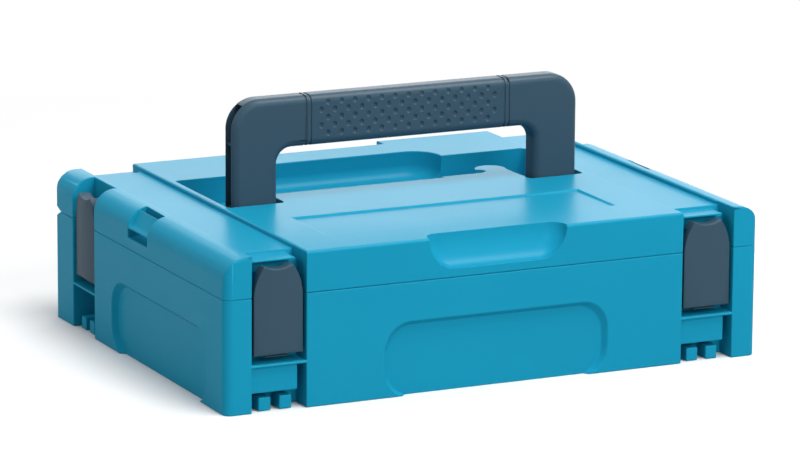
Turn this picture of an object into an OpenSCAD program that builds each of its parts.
// Hard tool case: a moulded base and lid, a folding carry handle and four two-piece latches.
// Millimetres. X runs left to right, Y front to back, Z up. The origin is at the centre of the
// underside. The case is drawn closed, with the handle up and the latch plates just released.

/* [Case] */
// Overall width, left to right
case_w = 395; // [385:1:420]
// Overall depth, front to back
case_d = 295; // [285:1:320]
// Height of the closed case without its handle
case_h = 105; // [97:1:125]
// Height of the lid above the seam
lid_h = 28; // [27:0.5:31]
// Wall thickness of both shells
wall = 3; // [2.4:0.1:3.4]
// Radius of the two upright corners at the front
corner_r = 6; // [4.5:0.5:8]
// Radius of the two upright corners at the back
back_corner_r = 2; // [1.5:0.5:4]
// Gap left between the two rims
seam_gap = 0.2; // [0.1:0.05:0.4]
// Height of the floor inside the base
floor_z = 6; // [5:0.5:9]

/* [Base panels] */
// Half width of the arched panel on the front and back
front_arch_half = 83; // [70:1:95]
// Half length of the arched panel on each side
side_arch_half = 82; // [70:1:90]
// Place of the side panel's middle, front to back
side_arch_y = -35.5; // [-37:0.5:-30]
// Height of the arched panels
arch_h = 50.4; // [44:0.2:56]
// Depth of the arched panels
arch_depth = 4; // [2:0.5:5]
// Radius of the arched panels' upper corners
arch_r = 19; // [12:1:24]
// Width of the sloped border of an arched panel
arch_slope = 3; // [1:0.5:4]
// Width of the flat rim that the case stands on
foot_rim = 26; // [22:1:34]
// Depth of the hollow inside that rim
foot_hollow = 2; // [1:0.5:2.5]

/* [Lid top] */
// Radius of the long upper edges
edge_r = 15; // [11:0.5:17]
// Radius of the upper edges at the front and back
front_edge_r = 2.2; // [1.2:0.1:2.8]
// Radius along the raised field and the rails, over the channels
step_r = 1.6; // [0.8:0.1:2.4]
// Width of each side rail
rail_w = 19.5; // [18.5:0.5:21]
// Width of the channel between a rail and the raised middle field
channel_w = 38.4; // [36:0.2:40]
// Depth of the channels between field and rails
channel_drop = 3; // [2:0.5:4]
// Further drop of the channels at the back
tail_drop = 3; // [1:0.5:4]
// Length of that drop, front to back
tail_l = 17; // [10:1:25]
// Half width of the notch in the back edge
rear_notch_half = 50; // [40:1:60]
// Depth of that notch, front to back
rear_notch_l = 12; // [8:1:16]
// Drop of that notch
rear_notch_drop = 4.5; // [3:0.5:6]
// Half width of the recessed field at the front
label_half = 108; // [90:1:118]
// Back edge of the recessed field
label_back = -54; // [-60:1:-48]
// Length of the recessed field, front to back
label_l = 55; // [40:1:60]
// Depth of the recessed field
label_drop = 1.2; // [0.5:0.1:1.5]
// Width of the slope round the recessed field
label_slope = 1.6; // [0.5:0.1:2.5]

/* [Finger scoop] */
// Half width of the scoop's mouth in the lid's top
scoop_half = 51; // [40:1:60]
// Half width of the scoop's foot
scoop_foot_half = 32; // [24:1:38]
// Depth of the scoop, front to back
scoop_depth = 12.5; // [9:0.5:15]
// Height of the scoop's floor above the seam
scoop_rise = 6; // [5:0.5:10]
// Radius of the corners of the scoop's mouth
scoop_r = 10.5; // [8:0.5:11.5]

/* [Handle] */
// Width of the handle over its legs
handle_w = 262; // [252:1:264]
// Width of each leg
leg_w = 33.5; // [28:0.5:36]
// Thickness of the handle, front to back
handle_t = 18; // [15:0.5:18]
// Height of the grip, bottom to top
grip_h = 35; // [28:1:38]
// Top of the handle above the lid
handle_rise = 72; // [66:1:74]
// Rounding of the handle's long edges
handle_edge_r = 5.5; // [3:0.5:7]
// Radius of the handle's outer corners
handle_corner_r = 21; // [14:1:26]
// Radius where a leg meets the grip
handle_inner_r = 11; // [6:1:16]
// Place of the outer groove of each pair, from the middle
groove_x = 76.8; // [70:0.2:84]
// Distance between the two grooves of a pair
groove_pitch = 3.3; // [2.5:0.1:5]
// Width of a groove
groove_w = 1.4; // [0.8:0.1:2]
// Depth of a groove
groove_depth = 0.8; // [0.4:0.1:1.2]
// Radius of the handle's pivot pins
handle_pin_r = 3; // [2:0.1:4]
// Depth of the pivot line below the lid's top
handle_pivot_drop = 9.6; // [9.4:0.1:12]
// Length of a pivot pin inside its leg
handle_pin_in_leg = 9; // [6:0.5:14]

/* [Handle well] */
// Depth of the well's floor below the lid's top
well_depth = 19.6; // [19:0.2:21]
// Room left of and right of each leg
leg_room = 4.5; // [3:0.5:5.5]
// Room in front of each leg
leg_room_front = 1.5; // [1:0.5:4]
// Room past the folded grip
grip_room = 1; // [0.6:0.1:3]
// Half width of the finger space behind the folded grip
finger_half = 70; // [60:1:74]
// Length of the finger space behind the folded grip
finger_l = 23; // [18:1:26]
// Radius of the finger space's corners
finger_r = 19; // [12:1:20]
// Radius between the finger space's walls and its floor
cove_r = 10; // [6:0.5:11]
// Front end of the ramp that leads down to the grip
ramp_front = 17; // [12:1:22]
// Left end of the deep pocket beside the ramp
pocket_left = 40; // [30:1:50]
// Front edge of the deep pocket
pocket_front = 20; // [16:1:24]
// Radius of the island's round back end
island_r = 11.3; // [9:0.1:12]
// Place of the island's round end, front to back
island_y = 30; // [26:0.5:31]

/* [Strap eyelets] */
// Half length of each eyelet, front to back
eyelet_half = 16.5; // [12:0.5:22]
// Distance of the upper hole from the channel
eyelet_in = 5.5; // [5:0.1:6]
// Width of the upper hole
eyelet_hole_w = 5.2; // [4.8:0.1:5.4]
// Height of the lower hole
eyelet_hole_h = 6; // [5:0.2:7]
// Height of the bar's lower end above the lower hole
eyelet_ledge_h = 3.4; // [2.8:0.1:4]
// Depth of the ledge at the bar's foot
eyelet_ledge = 3.8; // [3:0.1:4.4]
// Height of the bar's upright face inside the upper hole
eyelet_bar_h = 6.6; // [5.6:0.1:7]

/* [Hinge] */
// Distance of the hinge line from the back face
hinge_inset = 3.5; // [3.4:0.1:3.7]
// Height of the hinge line above the seam
hinge_rise = 0.5; // [0.3:0.1:0.8]
// Radius of a knuckle
knuckle_r = 3.3; // [2.8:0.1:3.4]
// Radius of a hinge pin
hinge_pin_r = 1.25; // [1:0.05:1.6]
// Length of one knuckle
knuckle_l = 9.6; // [7:0.1:11]
// Gap between knuckles
knuckle_gap = 0.4; // [0.3:0.05:0.8]
// Distance of each hinge's middle from the case's end
hinge_from_end = 77.5; // [60:0.5:95]
// Depth of the notch along the back seam
notch_depth = 7.9; // [7.7:0.1:9]
// Rise of the notch in the lid's back
notch_up = 3.6; // [3.4:0.1:5]
// Drop of the notch in the base's back
notch_down = 4.2; // [4:0.1:6]

/* [Latch bays] */
// Width of each bay
bay_w = 39; // [38:0.5:41]
// Depth of each bay
bay_depth = 16.5; // [16:0.1:18]
// Width of the corner column beside each front bay
column_w = 19; // [17:0.5:21]
// Distance of each side bay from the case's back
bay_to_back = 31; // [28:0.5:38]
// Height of the ledge at the foot of each bay
ledge_z = 31.8; // [29:0.2:33]
// Thickness of the ledge's front edge
ledge_edge = 1.8; // [1:0.2:3]
// Set-back of the wall below the ledge of a front bay
apron_set = 2.5; // [1.5:0.1:3.5]
// Height of the lower edge of that wall
apron_z = 12.5; // [11:0.5:15]
// Width of the deep slot beside that wall
side_slot_w = 5.5; // [4:0.5:7]
// Height of the two stacking lugs
lug_h = 9; // [7:0.5:10]
// Width of a stacking lug
lug_w = 8.6; // [7:0.2:9.4]
// Distance between the lugs' middles
lug_pitch = 14.9; // [13.5:0.1:15.5]
// Place of the lugs' common middle across the bay
lug_shift = -1.6; // [-2:0.1:-1.4]
// Set-back of the lugs' front
lug_set = 3.5; // [2.5:0.1:4.5]

/* [Latch catch] */
// Depth of the lip over each front bay
lip_set = 8; // [7.6:0.1:8.4]
// Step from the channel's floor down to the lip
lip_step = 2; // [1.5:0.1:2.2]
// Thickness of the lip
lip_t = 1.6; // [1.3:0.1:1.8]
// Depth of that step, from the case's face
lip_back = 22.5; // [21:0.5:25]
// Width of the slot beside the lip
lip_slot_w = 4.7; // [3.5:0.1:6]
// Depth of the catch rib's front
catch_set = 9.5; // [9.3:0.1:10]
// Height of the catch rib's foot above the seam
catch_rise = 8.5; // [8:0.1:9]
// Height of the catch rib
catch_h = 5; // [4:0.1:5.2]
// Width of the catch rib
catch_w = 23; // [21:0.5:30]
// Depth of the wall below the catch rib
under_catch_set = 12.5; // [12:0.1:13]
// Gap between hook and catch rib when released
hook_gap = 0.3; // [0.2:0.05:0.5]
// Room under the hook above the catch rib
hook_lift = 0.8; // [0.7:0.05:1.2]
// Thickness of the hook
hook_t = 3.2; // [2.5:0.1:3.6]
// Width of the hook
hook_w = 16; // [12:0.5:17]

/* [Latch plate] */
// Width of each plate
plate_w = 35; // [32:0.5:36]
// Set-back of the plate's face from the case's face
plate_set = 0.3; // [0.2:0.1:0.6]
// Thickness of the plate's skin
plate_skin = 2.6; // [2:0.1:2.8]
// Depth of the plate's side flanges, from its face
plate_flange = 5.7; // [4.5:0.1:6]
// Thickness of the side flanges
flange_t = 2; // [1.5:0.1:2.5]
// Room between ledge and plate
plate_lift = 5.7; // [5.4:0.1:8]
// Room between the lid's top and the plate
plate_drop = 8; // [7.5:0.1:9]
// Height over which the plate narrows
plate_taper_h = 21; // [18:0.5:24]
// Width of the plate's top
plate_top_w = 20; // [18.5:0.5:24]
// Depth of the finger notch in the top
plate_notch = 2.4; // [1.5:0.1:2.6]
// Radius of the plate's crowned face
plate_crown_r = 120; // [110:1:300]
// Height over which the plate's foot curves in
plate_foot_h = 5; // [3:0.2:7]
// Set-back of the plate's foot from its face
plate_foot_set = 1.6; // [0.8:0.1:1.8]
// Height of the plate's pin above the link's lower pin
pin_step = 11.5; // [10.5:0.1:12.5]
// Depth of the plate's pin
plate_pin_set = 5.8; // [5.7:0.1:6]

/* [Latch link] */
// Width of the link
link_w = 16; // [13:0.5:18]
// Height of the link's lower pin above the ledge
link_pin_rise = 10.7; // [10.5:0.1:11.2]
// Depth of the link's lower pin
link_pin_set = 9; // [8.9:0.1:9.4]
// Radius of the link's upper eye
link_eye_r = 2.6; // [2.2:0.05:2.6]
// Radius of the link's lower eye
link_foot_r = 3; // [2.6:0.1:3.1]
// Length of the link's tail below the lower pin
tail_reach = 7.1; // [6.8:0.1:7.1]
// Length of the tail's toe towards the face
toe_reach = 4.8; // [3.5:0.1:5]
// Radius of the latch pins
latch_pin_r = 1.5; // [1.2:0.05:1.6]
// Thickness of the ears that hold the pins
ear_t = 3; // [2.4:0.1:3.4]
// Gap between a link and the ears beside it
ear_gap = 0.4; // [0.3:0.05:0.8]

/* [Clearances] */
// Gap between a pin and its bore, on the radius
pin_clear = 0.05; // [0.02:0.01:0.09]
// Gap between a round part and the hollow it turns in
turn_gap = 0.6; // [0.5:0.05:0.8]
// Gap between the base's tongue and the lid
tongue_gap = 0.4; // [0.3:0.05:0.6]
// Thickness of the base's tongue
tongue_t = 2; // [1.6:0.1:2.4]
// Height of the base's tongue
tongue_h = 3; // [2:0.5:4]

/* [Hidden] */
$fn = 64;
eps = 0.01;
cut = 1;
body_color = [0.19, 0.57, 0.72];
dark_color = [0.30, 0.37, 0.43];
pin_color = [0.72, 0.73, 0.75];

LATCHES = ["front_left", "front_right", "side_left", "side_right"];

half_w = case_w / 2;
half_d = case_d / 2;
seam_z = case_h - lid_h;
rail_x = half_w - rail_w;
plateau_half = rail_x - channel_w;
front_bay_x = half_w - column_w - bay_w / 2;
side_bay_y = half_d - bay_to_back - bay_w / 2;
hinge_x = half_w - hinge_from_end;
base_top = seam_z - seam_gap / 2;
lid_bottom = seam_z + seam_gap / 2;
bay_back = bay_depth + wall;
bay_outer_w = bay_w + 2 * wall;

// hinge
hinge_y = half_d - hinge_inset;
hinge_z = seam_z + hinge_rise;
hinge_pitch = knuckle_l + knuckle_gap;
hinge_l = 5 * hinge_pitch - knuckle_gap;
rail_y = half_d - notch_depth - wall;
rail_rise = 13;
collar_h = 4;

// handle and its well
pivot_z = case_h - handle_pivot_drop;
handle_top = case_h + handle_rise;
handle_half = handle_w / 2;
leg_inner = handle_half - leg_w;
fold_reach = handle_top - pivot_z;
fold_front = fold_reach - grip_h;
well_z = case_h - well_depth;
well_half = handle_half + leg_room;
well_front = -handle_t / 2 - leg_room_front;
well_back = fold_reach + grip_room;
slot_inner = leg_inner - leg_room;
grip_front = fold_front - 2;
corner_room = 4;

// strap eyelets
edge_z = case_h - edge_r;
edge_x = half_w - edge_r;
eyelet_x = rail_x + eyelet_in;
eyelet_bar_x = eyelet_x + eyelet_hole_w;
eyelet_z = edge_z - eyelet_hole_h + 1;

// latches, measured in a bay's own frame
plate_z = ledge_z + plate_lift;
plate_top = case_h - plate_drop;
taper_z = plate_top - plate_taper_h;
link_z = ledge_z + link_pin_rise;
plate_pin_z = link_z + pin_step;
catch_z = seam_z + catch_rise;
catch_top = catch_z + catch_h;
hook_z = catch_top + hook_lift;
lip_top = case_h - channel_drop - lip_step;
lip_z = lip_top - lip_t;
lip_slot_z = lip_z - 2;
ear_outer = link_w / 2 + ear_gap + ear_t;
pin_l = 2 * ear_outer;

// ---------- flat shapes ----------

// Rectangle about the origin with round corners
module round_rect(w, h, r) {
    square([w - 2 * r, h], center = true);
    square([w, h - 2 * r], center = true);
    for (sx = [-1, 1], sy = [-1, 1])
        translate([sx * (w / 2 - r), sy * (h / 2 - r)]) circle(r = r);
}

// Plan of the case, drawn in by a given amount
module plan(inset) {
    d = case_d - 2 * inset;
    round_rect(case_w - 2 * inset, d, max(corner_r - inset, 1));
    translate([0, d / 4])
        round_rect(case_w - 2 * inset, d / 2, max(back_corner_r - inset, 1));
}

// Cross-section of the lid, left to right, drawn in by a given amount
module lid_section(inset) {
    top = case_h - inset;
    side = half_w - inset;
    r = edge_r - inset;
    difference() {
        union() {
            translate([-side, 0]) square([2 * side, edge_z]);
            translate([-edge_x, 0]) square([2 * edge_x, top]);
            for (s = [-1, 1]) translate([s * edge_x, edge_z]) circle(r = r);
        }
        for (s = [-1, 1])
            translate([s * (plateau_half + rail_x) / 2, top])
                channel_section(rail_x - plateau_half + 2 * inset);
    }
}

// Cross-section of a channel whose upper edges are rounded
module channel_section(w) {
    square([w, 2 * channel_drop], center = true);
    difference() {
        square([w + 2 * step_r, 2 * step_r], center = true);
        for (s = [-1, 1])
            translate([s * (w / 2 + step_r), -step_r]) circle(r = step_r);
    }
}

// Side view of the lid, front to back, with its two upper edges rounded
module lid_profile(inset) {
    half = half_d - inset;
    top = case_h - inset;
    translate([-half, 0]) square([2 * half, top - front_edge_r]);
    translate([front_edge_r - half, 0]) square([2 * (half - front_edge_r), top]);
    for (s = [-1, 1])
        translate([s * (half - front_edge_r), top - front_edge_r]) circle(r = front_edge_r);
}

// Plan of the deep part of the handle's well, grown by a given amount
module well_plan(grow) {
    difference() {
        union() {
            for (s = [-1, 1])
                translate([s * (slot_inner + well_half) / 2, (well_front + well_back) / 2])
                    round_rect(well_half - slot_inner + 2 * grow,
                        well_back - well_front + 2 * grow, corner_room);
            translate([-well_half + corner_room, grip_front - grow])
                square([2 * (well_half - corner_room), well_back - grip_front + 2 * grow]);
            translate([pocket_left - grow, pocket_front - grow])
                square([slot_inner - pocket_left + 2 * grow, grip_front - pocket_front + 2 * grow]);
        }
        if (grow == 0) island_plan();
    }
}

// Plan of the hooked island beside the right leg
module island_plan() {
    island_x = slot_inner - island_r + 1;
    difference() {
        union() {
            translate([island_x, island_y]) circle(r = island_r);
            translate([island_x - island_r + 1, pocket_front - cut])
                square([2 * island_r - 2, island_y - pocket_front + cut]);
        }
        translate([island_x - island_r, pocket_front + island_r / 2]) circle(r = island_r / 2.3);
    }
}

// Outline of a latch plate, seen from the front and drawn in by a given amount
module plate_outline(inset) {
    half = plate_w / 2;
    shrink = half - plate_top_w / 2;
    side_r = (pow(plate_taper_h, 2) + pow(shrink, 2)) / (2 * shrink);
    notch_r = (pow(plate_top_w / 2, 2) + pow(plate_notch, 2)) / (2 * plate_notch);
    difference() {
        union() {
            translate([-half + inset, plate_z - (inset > 0 ? cut : 0)])
                square([plate_w - 2 * inset, taper_z - plate_z + (inset > 0 ? cut : 0)]);
            intersection() {
                translate([half - side_r, taper_z]) circle(r = side_r - inset, $fn = 128);
                translate([side_r - half, taper_z]) circle(r = side_r - inset, $fn = 128);
                translate([-half, taper_z - eps]) square([plate_w, plate_taper_h - inset + eps]);
            }
        }
        translate([0, plate_top - plate_notch + notch_r]) circle(r = notch_r + inset, $fn = 128);
    }
}

// ---------- placing ----------

// Bay frame: X across the bay, Y into the case, Z up, origin on the face at the bay's middle
module in_bay(name) {
    if (name == "front_left") translate([-front_bay_x, -half_d, 0]) children();
    if (name == "front_right") translate([front_bay_x, -half_d, 0]) children();
    if (name == "side_left") translate([-half_w, side_bay_y, 0]) rotate(-90) children();
    if (name == "side_right") translate([half_w, side_bay_y, 0]) rotate(90) children();
}

module in_all_bays() {
    for (name = LATCHES) in_bay(name) children();
}

// Prism across a bay from a profile given as depth and height
module across(w) {
    rotate([90, 0, 90]) linear_extrude(w, center = true) children();
}

module block(x0, x1, y0, y1, z0, z1) {
    translate([x0, y0, z0]) cube([x1 - x0, y1 - y0, z1 - z0]);
}

// Cylinder along X about a point of depth and height
module rod(r, l, y, z) {
    translate([-l / 2, y, z]) rotate([0, 90, 0]) cylinder(r = r, h = l);
}

// ---------- base ----------

// Inside of both shells in plan: clear of the bays' walls
module room_plan(inset) {
    difference() {
        plan(inset);
        for (s = [-1, 1]) {
            translate([s * front_bay_x, -half_d])
                square([bay_outer_w + 2 * (inset - wall), 2 * (bay_back + inset - wall)],
                    center = true);
            translate([s * half_w, side_bay_y])
                square([2 * (bay_back + inset - wall), bay_outer_w + 2 * (inset - wall)],
                    center = true);
        }
    }
}

// Thick rail inside the back wall of a shell, next to the notch
module back_rail(dir) {
    slope = half_d - wall - rail_y;
    across(case_w - 2 * wall)
        polygon([
            [rail_y, seam_z - dir * cut], [half_d, seam_z - dir * cut],
            [half_d, seam_z + dir * (rail_rise + slope)],
            [half_d - wall, seam_z + dir * (rail_rise + slope)],
            [rail_y, seam_z + dir * rail_rise]
        ]);
}

// Arched panel cut, on a face that looks along -Y at y = 0; grow > 0 gives its backing
module arch(half, grow) {
    module sheet(inset, y) {
        translate([0, y + eps, 0]) rotate([90, 0, 0]) linear_extrude(eps)
            difference() {
                translate([0, (arch_h - inset - cut) / 2])
                    round_rect(2 * (half - inset), arch_h - inset + cut, arch_r, $fn = 32);
                translate([-half, -2 * cut]) square([2 * half, cut]);
            }
    }
    if (grow == 0)
        hull() {
            sheet(-arch_slope * cut / arch_depth, -cut);
            sheet(arch_slope, arch_depth);
        }
    else
        block(-half - grow, half + grow, -cut, arch_depth + grow, -cut, arch_h + grow);
}

module all_arches(grow) {
    translate([0, -half_d, 0]) arch(front_arch_half, grow);
    translate([0, half_d, 0]) rotate(180) arch(front_arch_half, grow);
    translate([-half_w, side_arch_y, 0]) rotate(-90) arch(side_arch_half, grow);
    translate([half_w, side_arch_y, 0]) rotate(90) arch(side_arch_half, grow);
}

// What a side bay takes out of the base: all but a shelf under the latch
module side_bay_base_cut() {
    block(-bay_w / 2, bay_w / 2, -cut, bay_depth, ledge_z, case_h);
    block(-bay_w / 2, bay_w / 2, -cut, bay_depth, -cut, ledge_z - ledge_edge);
}

// What a front bay takes out of the base, which keeps a wall below the shelf
module front_bay_base_cut() {
    left = -bay_w / 2;
    slot_left = bay_w / 2 - side_slot_w;
    under = ledge_z - ledge_edge;
    block(left, -left, -cut, bay_depth, ledge_z, case_h);
    block(left, -left, -cut, apron_set, -cut, under);
    block(slot_left, -left, -cut, bay_depth, -cut, under);
    block(left, slot_left + cut, -cut, bay_depth, -cut, apron_z);
    block(left + wall, slot_left - wall, apron_set + wall, bay_depth, -cut, ledge_z - wall);
}

// Ears for the link's lower pin, clear of the plate's swing, and the two stacking lugs
module base_bay_add() {
    ear_foot = link_z - 0.8 * link_foot_r;
    for (s = [-1, 1])
        translate([s * (ear_outer - ear_t / 2), 0, 0])
            across(ear_t)
                difference() {
                    union() {
                        translate([link_pin_set, link_z]) circle(r = link_foot_r + 0.2);
                        polygon([
                            [link_pin_set, ear_foot],
                            [bay_depth + eps, ear_foot],
                            [bay_depth + eps, link_z + 2 * link_foot_r],
                            [link_pin_set, link_z + link_foot_r]
                        ]);
                    }
                    translate([link_pin_set, link_z]) circle(r = latch_pin_r + pin_clear);
                }
    for (s = [-1, 1])
        translate([lug_shift + s * lug_pitch / 2, 0, 0])
            block(-lug_w / 2, lug_w / 2, lug_set, bay_depth + eps, 0, lug_h);
}

// Tongue that stands in the lid and keeps the rims in line, on a collar inside the rim
module tongue() {
    outer = wall + tongue_gap;
    inner = outer + tongue_t;
    translate([0, 0, base_top - collar_h])
        linear_extrude(collar_h)
            difference() {
                tongue_plan(wall / 2);
                tongue_plan(inner);
            }
    translate([0, 0, base_top - eps])
        linear_extrude(tongue_h + eps)
            difference() {
                tongue_plan(outer);
                tongue_plan(inner);
            }
}

module tongue_plan(inset) {
    intersection() {
        room_plan(inset);
        translate([-half_w, -half_d]) square([case_w, half_d + rail_y - inset + wall]);
    }
}

// One hinge: knuckles 0, 2 and 4 belong to the base, 1 and 3 to the lid
module knuckles(which, r, extra) {
    for (s = [-1, 1], k = which)
        translate([s * hinge_x + (k - 2) * hinge_pitch, 0, 0])
            rod(r, knuckle_l + 2 * extra, hinge_y, hinge_z);
}

module knuckle_legs(which, front, back, z0, z1) {
    for (s = [-1, 1], k = which)
        translate([s * hinge_x + (k - 2) * hinge_pitch, 0, 0])
            block(-knuckle_l / 2, knuckle_l / 2, hinge_y - front, hinge_y + back, z0, z1);
}

module hinge_bores() {
    for (s = [-1, 1])
        translate([s * hinge_x, 0, 0])
            rod(hinge_pin_r + pin_clear, hinge_l + 2 * cut, hinge_y, hinge_z);
}

module base_shell() {
    color(body_color)
        difference() {
            union() {
                difference() {
                    linear_extrude(base_top) plan(0);
                    base_room();
                    in_bay("front_left") front_bay_base_cut();
                    in_bay("front_right") front_bay_base_cut();
                    in_bay("side_left") side_bay_base_cut();
                    in_bay("side_right") side_bay_base_cut();
                    all_arches(0);
                    foot_hollows();
                    base_back_notch();
                    knuckles([1, 3], knuckle_r + turn_gap, knuckle_gap / 2);
                }
                in_all_bays() base_bay_add();
                tongue();
                knuckles([0, 2, 4], knuckle_r, 0);
                knuckle_legs([0, 2, 4], knuckle_r, knuckle_r - 1.1, base_top - rail_rise, hinge_z);
            }
            hinge_bores();
        }
}

module base_room() {
    difference() {
        translate([0, 0, floor_z]) linear_extrude(case_h) room_plan(wall);
        all_arches(wall);
        back_rail(-1);
    }
}

module base_back_notch() {
    across(case_w + 2 * cut)
        polygon([
            [half_d - notch_depth, base_top], [half_d - notch_depth, base_top + cut],
            [half_d + cut, base_top + cut],
            [half_d + cut, base_top - notch_down * (1 + cut / notch_depth)]
        ]);
}

// Shallow hollows under the base, parted by two ribs
module foot_hollows() {
    cell_w = (case_w - 2 * foot_rim - 2 * wall) / 3;
    for (k = [-1, 0, 1])
        translate([k * (cell_w + wall), 0, -cut])
            linear_extrude(foot_hollow + cut)
                round_rect(cell_w, case_d - 2 * foot_rim, corner_r);
}

// ---------- lid ----------

module lid_shell() {
    color(body_color)
        difference() {
            union() {
                difference() {
                    lid_block(0);
                    lid_room();
                    in_bay("front_left") front_bay_cut();
                    in_bay("front_right") front_bay_cut();
                    in_bay("side_left") side_bay_cut();
                    in_bay("side_right") side_bay_cut();
                    finger_scoop();
                    label_field();
                    handle_well();
                    back_edge_cuts();
                    eyelet_cuts();
                    lid_back_notch();
                    knuckles([0, 2, 4], knuckle_r + turn_gap, knuckle_gap / 2);
                }
                handle_bosses();
                knuckles([1, 3], knuckle_r, 0);
                knuckle_legs([1, 3], knuckle_r, knuckle_r - 0.2, hinge_z, lid_bottom + rail_rise);
            }
            hinge_bores();
            handle_bores();
        }
}

module lid_block(inset) {
    intersection() {
        translate([0, 0, lid_bottom]) linear_extrude(case_h) plan(inset);
        rotate([90, 0, 0]) linear_extrude(case_d + 2 * cut, center = true) lid_section(inset);
        across(case_w + 2 * cut) lid_profile(inset);
    }
}

module lid_room() {
    difference() {
        intersection() {
            translate([0, 0, lid_bottom - cut]) linear_extrude(case_h) room_plan(wall);
            rotate([90, 0, 0]) linear_extrude(case_d + 2 * cut, center = true)
                lid_section(wall);
        }
        block(-scoop_half - wall, scoop_half + wall, -half_d, -half_d + scoop_depth + wall,
            seam_z + scoop_rise - wall, case_h);
        translate([0, 0, well_z - wall]) linear_extrude(case_h) well_plan(wall);
        finger_space(wall);
        ramp(wall);
        in_bay("front_left") lip_backing();
        in_bay("front_right") lip_backing();
        block(-rear_notch_half - wall, rear_notch_half + wall,
            half_d - rear_notch_l - wall, half_d, case_h - rear_notch_drop - wall, case_h);
        for (s = [-1, 1]) {
            mid = s * (plateau_half + rail_x) / 2;
            reach = (rail_x - plateau_half) / 2 + wall;
            block(mid - reach, mid + reach, half_d - tail_l - wall, half_d,
                case_h - channel_drop - tail_drop - wall, case_h);
            block(min(s * (rail_x - wall), s * half_w), max(s * (rail_x - wall), s * half_w),
                -eyelet_half - wall, eyelet_half + wall, eyelet_z - wall, case_h);
        }
        back_rail(1);
    }
}

// A front bay: open to the front, hollow under its lip, with the catch rib at its back
module front_bay_cut() {
    right = bay_w / 2;
    across(bay_w)
        polygon(concat(catch_profile(), [
            [bay_depth, lip_z], [lip_set, lip_z], [lip_set, case_h + cut], [-cut, case_h + cut]
        ]));
    across(bay_w)
        polygon([
            [lip_set - cut, lip_top], [lip_back, lip_top], [lip_back + 0.8, lip_top + lip_step],
            [lip_back + 0.8, case_h + cut], [lip_set - cut, case_h + cut]
        ]);
    block(right - lip_slot_w, right, lip_set - cut, lip_back, lip_slot_z, case_h + cut);
    block(right - lip_slot_w, right, lip_set - cut, bay_depth, lip_z - cut, case_h + cut);
    beside_catch();
}

// Free depth on both sides of the catch rib
module beside_catch() {
    for (s = [-1, 1])
        block(min(s * catch_w, s * bay_w) / 2, max(s * catch_w, s * bay_w) / 2,
            -cut, bay_depth, seam_z - cut, catch_top + eps);
}

// Backing under the step behind the lip
module lip_backing() {
    half = bay_w / 2 + wall;
    block(-half, half, 0, lip_back + wall, lip_slot_z - wall, case_h);
}

// A side bay: open to the top as well
module side_bay_cut() {
    across(bay_w)
        polygon(concat(catch_profile(), [[bay_depth, case_h + cut], [-cut, case_h + cut]]));
    beside_catch();
}

function catch_profile() = [
    [-cut, seam_z - cut], [under_catch_set, seam_z - cut], [under_catch_set, catch_z],
    [catch_set, catch_z + 1], [catch_set, catch_top], [bay_depth, catch_top]
];

// Bowl for the fingers: slices that shrink along an ellipse from the mouth to the foot
module finger_scoop() {
    steps = 14;
    drop = case_h - seam_z - scoop_rise;
    translate([0, -half_d, case_h])
        hull() {
            scoop_slice(1, cut);
            for (k = [0 : steps]) scoop_slice(cos(90 * k / steps), -drop * sin(90 * k / steps));
        }
}

// One slice of the bowl: share is 1 at the mouth and 0 at the foot
module scoop_slice(share, z) {
    half = scoop_foot_half + (scoop_half - scoop_foot_half) * share;
    depth = max(scoop_depth * share, 0.2);
    translate([0, 0, z])
        linear_extrude(eps)
            round_rect(2 * half, 2 * depth, min(scoop_r, depth - 0.1), $fn = 32);
}

module label_field() {
    translate([0, label_back - label_l / 2, case_h])
        intersection() {
            across(2 * label_half) label_section(label_l / 2);
            rotate([90, 0, 0]) linear_extrude(label_l, center = true) label_section(label_half);
        }
}

// Section of the recessed field, with a slope at both ends
module label_section(half) {
    polygon([
        [-half, 0], [label_slope - half, -label_drop], [half - label_slope, -label_drop],
        [half, 0], [half, cut], [-half, cut]
    ]);
}

module handle_well() {
    translate([0, 0, well_z]) linear_extrude(well_depth + cut) well_plan(0);
    ramp(0);
    finger_space(0);
}

// Finger space behind the folded grip, with a cove along its foot
module finger_space(grow) {
    reach = finger_r + grow;
    corner_x = finger_half - finger_r;
    corner_y = well_back + finger_l - finger_r;
    translate([0, corner_y, 0])
        across(2 * corner_x) translate([-eps, 0]) cove_section(reach + eps, grow);
    for (s = [-1, 1]) {
        translate([s * corner_x, corner_y, 0]) rotate_extrude() cove_section(reach, grow);
        translate([s * corner_x, (corner_y + grip_front) / 2, 0])
            mirror([s < 0 ? 1 : 0, 0, 0])
                rotate([90, 0, 0])
                    linear_extrude(corner_y - grip_front + 2 * grow, center = true)
                        cove_section(reach, grow);
    }
    block(-corner_x, corner_x, grip_front - grow, corner_y, well_z - grow, case_h + cut);
}

// Half section of the finger space: a floor, a cove and a wall
module cove_section(reach, grow) {
    r = cove_r + grow;
    floor_z = well_z - grow;
    difference() {
        translate([0, floor_z]) square([reach, case_h + cut - floor_z]);
        translate([reach - r, floor_z]) square([r, r]);
    }
    intersection() {
        translate([reach - r, floor_z + r]) circle(r = r);
        translate([reach - r - eps, floor_z]) square([r + 2 * eps, r + eps]);
    }
}

// Ramp from the lid's top down to the folded grip
module ramp(grow) {
    translate([(pocket_left - slot_inner) / 2, 0, 0])
        across(pocket_left + slot_inner + 2 * grow)
            polygon([
                [ramp_front - grow, case_h + cut], [ramp_front - grow, case_h - grow / 2],
                [grip_front, well_z - grow], [grip_front + cut, well_z - grow],
                [grip_front + cut, case_h + cut]
            ]);
}

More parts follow.
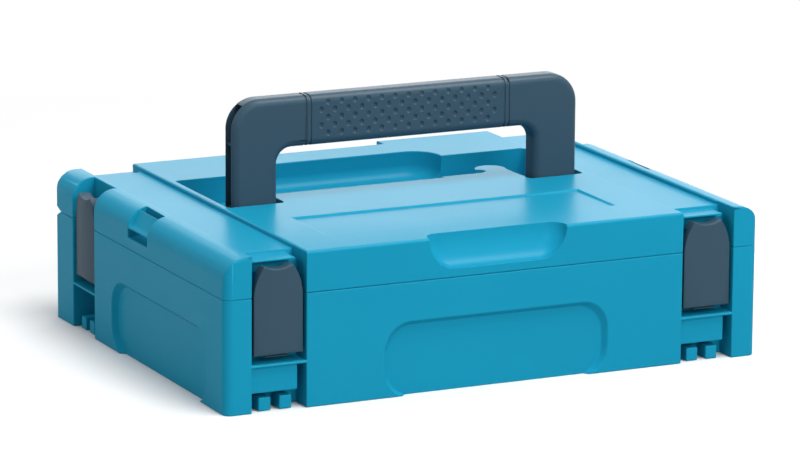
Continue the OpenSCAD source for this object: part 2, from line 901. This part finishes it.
module back_edge_cuts() {
    block(-rear_notch_half, rear_notch_half, half_d - rear_notch_l, half_d + cut,
        case_h - rear_notch_drop, case_h + cut);
    for (s = [-1, 1])
        translate([s * (plateau_half + rail_x) / 2, half_d, case_h - channel_drop - tail_drop])
            linear_extrude(case_h)
                round_rect(rail_x - plateau_half, 2 * tail_l, corner_r);
}

module eyelet_cuts() {
    for (s = [-1, 1])
        mirror([s < 0 ? 1 : 0, 0, 0])
            rotate([90, 0, 0])
                linear_extrude(2 * eyelet_half, center = true)
                    difference() {
                        translate([eyelet_x, eyelet_z]) square([half_w, case_h]);
                        eyelet_bar_section();
                    }
}

// The bar between the holes: a flat face sunk in the round edge, and a ledge at its foot
module eyelet_bar_section() {
    top = edge_z + sqrt(pow(edge_r, 2) - pow(eyelet_bar_x - edge_x, 2));
    foot = eyelet_z + eyelet_hole_h;
    ledge_x = half_w - eyelet_ledge;
    polygon([
        [eyelet_bar_x, top], [ledge_x, foot + eyelet_ledge_h], [half_w, foot + 1],
        [half_w + cut, foot + 1], [half_w + cut, foot],
        [ledge_x - 2.2, foot], [eyelet_bar_x, top - eyelet_bar_h]
    ]);
}

module lid_back_notch() {
    across(case_w + 2 * cut)
        polygon([
            [half_d - notch_depth, lid_bottom], [half_d - notch_depth, lid_bottom - cut],
            [half_d + cut, lid_bottom - cut],
            [half_d + cut, lid_bottom + notch_up * (1 + cut / notch_depth)]
        ]);
}

// Bosses that keep the handle's legs in the middle of their slots
module handle_bosses() {
    for (s = [-1, 1])
        translate([s * (handle_half + ear_gap), 0, pivot_z])
            rotate([0, s * 90, 0])
                cylinder(r = 2 * handle_pin_r, h = leg_room + wall + handle_pin_r);
}

module handle_bores() {
    for (s = [-1, 1])
        translate([s * handle_half, 0, pivot_z])
            rotate([0, s * 90, 0])
                cylinder(r = handle_pin_r + pin_clear, h = leg_room + wall + 2 * handle_pin_r);
}

// ---------- handle ----------

module handle() {
    color(dark_color)
        difference() {
            union() {
                for (s = [-1, 1]) {
                    handle_leg(s);
                    handle_corner(s);
                }
                handle_grip();
            }
            for (s = [-1, 1]) {
                translate([s * (handle_half + cut), 0, pivot_z])
                    rotate([0, -s * 90, 0])
                        cylinder(r = handle_pin_r + pin_clear, h = handle_pin_in_leg + 2 * cut);
                for (k = [0, 1]) grip_groove(s * (groove_x - k * groove_pitch));
            }
        }
}

module handle_leg(s) {
    mid = s * (handle_half - leg_w / 2);
    translate([mid, 0, pivot_z])
        linear_extrude(fold_reach - handle_corner_r) round_rect(leg_w, handle_t, handle_edge_r);
    translate([mid, 0, pivot_z])
        intersection() {
            rotate([0, 90, 0]) cylinder(r = handle_t / 2, h = leg_w, center = true);
            translate([0, 0, -handle_t])
                linear_extrude(handle_t) round_rect(leg_w, handle_t, handle_edge_r);
        }
}

module handle_corner(s) {
    translate([s * (handle_half - handle_corner_r), 0, handle_top - handle_corner_r])
        rotate([90, 0, 0])
            rotate_extrude(angle = 360)
                intersection() {
                    round_rect(2 * handle_corner_r, handle_t, handle_edge_r);
                    translate([0, -handle_t]) square([handle_corner_r, 2 * handle_t]);
                }
    handle_fillet(s);
}

// Quarter ring that carries the rounded edge round the inside of the corner
module handle_fillet(s) {
    ring = 2 * handle_edge_r + 2;
    translate([s * (leg_inner - handle_inner_r), 0, handle_top - grip_h - handle_inner_r])
        mirror([s < 0 ? 1 : 0, 0, 0])
            rotate([90, 0, 0])
                rotate_extrude(angle = 90)
                    intersection() {
                        translate([handle_inner_r + handle_t, 0])
                            round_rect(2 * handle_t, handle_t, handle_edge_r);
                        translate([0, -handle_t])
                            square([handle_inner_r + ring, 2 * handle_t]);
                    }
}

module handle_grip() {
    translate([0, 0, handle_top - grip_h / 2])
        across(handle_w - 2 * handle_corner_r)
            round_rect(handle_t, grip_h, handle_edge_r);
}

module grip_groove(x) {
    translate([x, 0, handle_top - grip_h / 2])
        across(groove_w)
            difference() {
                square([handle_t + 2, grip_h + 2], center = true);
                round_rect(handle_t - 2 * groove_depth, grip_h - 2 * groove_depth,
                    handle_edge_r - groove_depth);
            }
}

module handle_pin(s) {
    color(pin_color)
        translate([s * (handle_half - handle_pin_in_leg), 0, pivot_z])
            rotate([0, s * 90, 0])
                cylinder(r = handle_pin_r, h = handle_pin_in_leg + leg_room + wall);
}

module hinge_pin(s) {
    color(pin_color)
        translate([s * hinge_x, 0, 0]) rod(hinge_pin_r, hinge_l, hinge_y, hinge_z);
}

// ---------- latches ----------

module latch_plate() {
    color(dark_color)
        difference() {
            union() {
                intersection() {
                    plate_slab(0, plate_set, plate_flange);
                    translate([0, plate_crown_r + plate_set, 0])
                        cylinder(r = plate_crown_r, h = case_h, $fn = 256);
                    plate_foot();
                    difference() {
                        block(-plate_w, plate_w, 0, plate_flange, 0, case_h);
                        plate_slab(flange_t, plate_set + plate_skin, plate_flange + cut);
                    }
                }
                plate_ears();
                plate_hook();
                plate_cheeks();
            }
            rod(latch_pin_r + pin_clear, pin_l + 2 * cut, plate_pin_set, plate_pin_z);
        }
}

module plate_slab(inset, y0, y1) {
    translate([0, y1, 0]) rotate([90, 0, 0]) linear_extrude(y1 - y0) plate_outline(inset);
}

// Side view of the plate's face: it curves in towards its foot
module plate_foot() {
    r = (pow(plate_foot_h, 2) + pow(plate_foot_set, 2)) / (2 * plate_foot_set);
    across(2 * plate_w) {
        translate([plate_set + r, plate_z + plate_foot_h]) circle(r = r);
        translate([plate_set, plate_z + plate_foot_h]) square([plate_flange, case_h]);
    }
}

// Deep side walls at the plate's top, on both sides of the hook
module plate_cheeks() {
    nose = catch_set - hook_gap;
    difference() {
        plate_slab(0, plate_flange - eps, nose);
        plate_slab(flange_t, plate_flange - cut, nose + cut);
        block(-plate_w, plate_w, 0, nose + cut, 0, hook_z);
    }
}

module plate_ears() {
    skin = plate_set + plate_skin;
    for (s = [-1, 1])
        translate([s * (ear_outer - ear_t / 2), 0, 0])
            across(ear_t) {
                translate([plate_pin_set, plate_pin_z]) circle(r = link_eye_r + 0.2);
                polygon([
                    [skin - 0.6, plate_pin_z - link_foot_r], [plate_pin_set, plate_pin_z - link_eye_r],
                    [plate_pin_set, plate_pin_z + link_eye_r],
                    [skin - 0.6, plate_pin_z + 2 * link_foot_r]
                ]);
            }
}

module plate_hook() {
    nose = catch_set - hook_gap;
    root = plate_set + plate_skin - 0.6;
    across(hook_w)
        polygon([
            [root, hook_z], [nose - 1, hook_z], [nose, hook_z + 0.7],
            [nose, hook_z + hook_t / 2], [nose - 2, hook_z + hook_t], [root, hook_z + hook_t]
        ]);
}

module latch_link() {
    color(dark_color)
        difference() {
            across(link_w) {
                translate([plate_pin_set, plate_pin_z]) circle(r = link_eye_r);
                translate([link_pin_set, link_z]) circle(r = link_foot_r);
                link_bar();
                link_tail();
            }
            rod(latch_pin_r + pin_clear, pin_l, plate_pin_set, plate_pin_z);
            rod(latch_pin_r + pin_clear, pin_l, link_pin_set, link_z);
        }
}

// Straight web between the two eyes, a little thinner than they are
module link_bar() {
    run = plate_pin_set - link_pin_set;
    reach = sqrt(pow(run, 2) + pow(pin_step, 2));
    half_t = link_eye_r - 0.4;
    translate([link_pin_set, link_z])
        rotate(atan2(pin_step, run))
            translate([0, -half_t]) square([reach, 2 * half_t]);
}

// Tail below the lower pin, with a toe that shows under the plate
module link_tail() {
    tail_t = 3.6;
    toe_t = 1;
    intersection() {
        translate([link_pin_set - tail_t / 2, link_z - tail_reach]) square([tail_t, tail_reach]);
        translate([link_pin_set, link_z]) circle(r = tail_reach);
    }
    translate([link_pin_set - toe_reach, link_z - tail_reach])
        square([toe_reach, toe_t]);
}

module latch_pin(y, z) {
    color(pin_color) rod(latch_pin_r, pin_l, y, z);
}

base_shell();
lid_shell();
handle();
handle_pin(-1);  // handle_pin_left
handle_pin(1);  // handle_pin_right
hinge_pin(-1);  // hinge_pin_left
hinge_pin(1);  // hinge_pin_right
for (name = LATCHES) {
    in_bay(name) latch_plate();
    in_bay(name) latch_link();
    in_bay(name) latch_pin(link_pin_set, link_z);
    in_bay(name) latch_pin(plate_pin_set, plate_pin_z);
}
